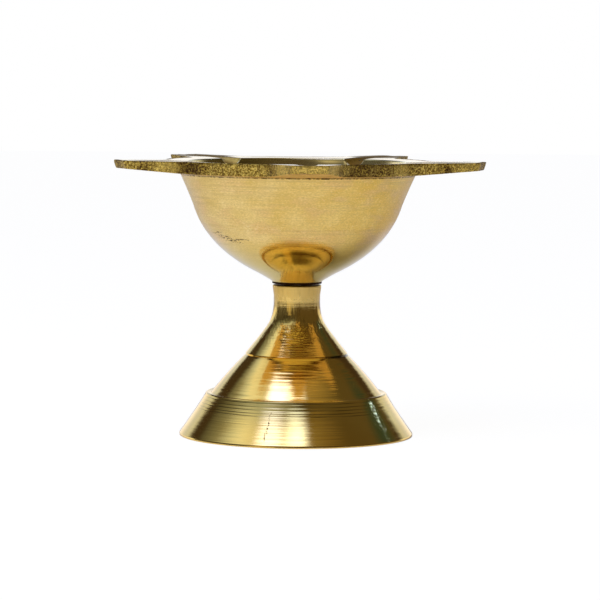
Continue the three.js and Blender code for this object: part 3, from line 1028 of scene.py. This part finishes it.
def make_side_light():
    """A soft light on the left that draws no highlight of its own."""
    data = bpy.data.lights.new("side_light", "AREA")
    data.size, data.energy = SIDE_LIGHT_SIZE, SIDE_LIGHT_POWER
    lamp = bpy.data.objects.new("side_light", data)
    bpy.context.scene.collection.objects.link(lamp)
    lamp.location = SIDE_LIGHT_PLACE
    ray = Vector(SIDE_LIGHT_AIM) - Vector(SIDE_LIGHT_PLACE)
    lamp.rotation_euler = ray.to_track_quat("-Z", "Y").to_euler()
    lamp.visible_camera = lamp.visible_glossy = False


def make_floor():
    """A white table, which the camera sees almost without shadows."""
    corners = [(x * FLOOR_HALF, y * FLOOR_HALF, 0) for x, y in ((-1, -1), (1, -1), (1, 1), (-1, 1))]
    mesh = bpy.data.meshes.new("floor")
    mesh.from_pydata(corners, [], [(0, 1, 2, 3)])
    floor = bpy.data.objects.new("floor", mesh)
    bpy.context.scene.collection.objects.link(floor)
    material, tree, shader = new_material("white_table", Base_Color=(0.9, 0.9, 0.9, 1), Roughness=0.9)
    glow = add_node(tree, "ShaderNodeEmission", Color=(1, 1, 1, 1), Strength=1.03)
    path = add_node(tree, "ShaderNodeLightPath")
    share = spread(tree, path.outputs["Is Camera Ray"], 0, 1, 0.0, 0.93)
    mix = add_node(tree, "ShaderNodeMixShader", Fac=share)
    tree.links.new(shader.outputs[0], mix.inputs[1])
    tree.links.new(glow.outputs[0], mix.inputs[2])
    tree.links.new(mix.outputs[0], tree.nodes["Material Output"].inputs["Surface"])
    floor.data.materials.append(material)


def ramp(tree, value, stops):
    """Shades along a value; each stop is a place and a grey or a colour."""
    node = add_node(tree, "ShaderNodeValToRGB", Fac=value)
    elements = node.color_ramp.elements
    while len(elements) < len(stops):
        elements.new(0.5)
    for element, (position, shade) in zip(elements, stops):
        element.position = position
        element.color = (*shade, 1) if isinstance(shade, tuple) else (shade, shade, shade, 1)
    return node.outputs["Color"]


def with_patch(tree, room, direction, full, end, shade):
    """Lays a round patch of light or dark over the room, soft between two angles about a direction."""
    place = add_node(tree, "ShaderNodeTexCoord").outputs["Generated"]
    towards = vector_value(tree, "DOT_PRODUCT", place, Vector(direction).normalized())
    share = spread(tree, towards, math.cos(math.radians(end)), math.cos(math.radians(full)))
    return mixed(tree, share, room, shade)


def make_world():
    """A white sweep behind the lamp in a dim room, lighter on the left, with patches of light and dark."""
    world = bpy.data.worlds.new("studio")
    bpy.context.scene.world = world
    world.use_nodes = True
    tree = world.node_tree
    place = add_node(tree, "ShaderNodeTexCoord")
    axes = add_node(tree, "ShaderNodeSeparateXYZ", Vector=place.outputs["Generated"])
    height = spread(tree, axes.outputs["Z"], -1, 1)
    leftward = spread(tree, axes.outputs["X"], 0.05, -0.6)
    backward = spread(tree, axes.outputs["Y"], 0.50, 0.60)
    sides = mixed(tree, leftward, ramp(tree, height, RIGHT_SIDE), ramp(tree, height, LEFT_SIDE))
    room = mixed(tree, backward, sides, ramp(tree, height, BEHIND))
    for patch in ROOM_PATCHES:
        room = with_patch(tree, room, *patch)
    path = add_node(tree, "ShaderNodeLightPath")
    seen = mixed(tree, path.outputs["Is Camera Ray"], room, (1, 1, 1))
    tree.links.new(seen, tree.nodes["Background"].inputs["Color"])
    tree.nodes["Background"].inputs["Strength"].default_value = 1.0


# The lamp and its surroundings, put together

def dress(piece, body, node):
    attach(piece, body)
    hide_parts(node)


make_camera()
make_floor()
make_world()
make_side_light()

stand = make_stand()
paint_stand(stand)
dress(stand, "stand", "stand")

stud = make_stud(rod_brass())
dress(stud, "stud", "screw_stud")

bowl = make_bowl()
skin_sizes = {"Grain": CAST_GRAIN, "Depth": CAST_DEPTH * MM, "Swell": CAST_SWELL}
grow(bowl, cast_skin_tree(satin_turned_brass()), skin_sizes)
paint_bowl(bowl)
dress(bowl, "bowl", "spouted_bowl")

bpy.context.scene.view_settings.view_transform = "Standard"
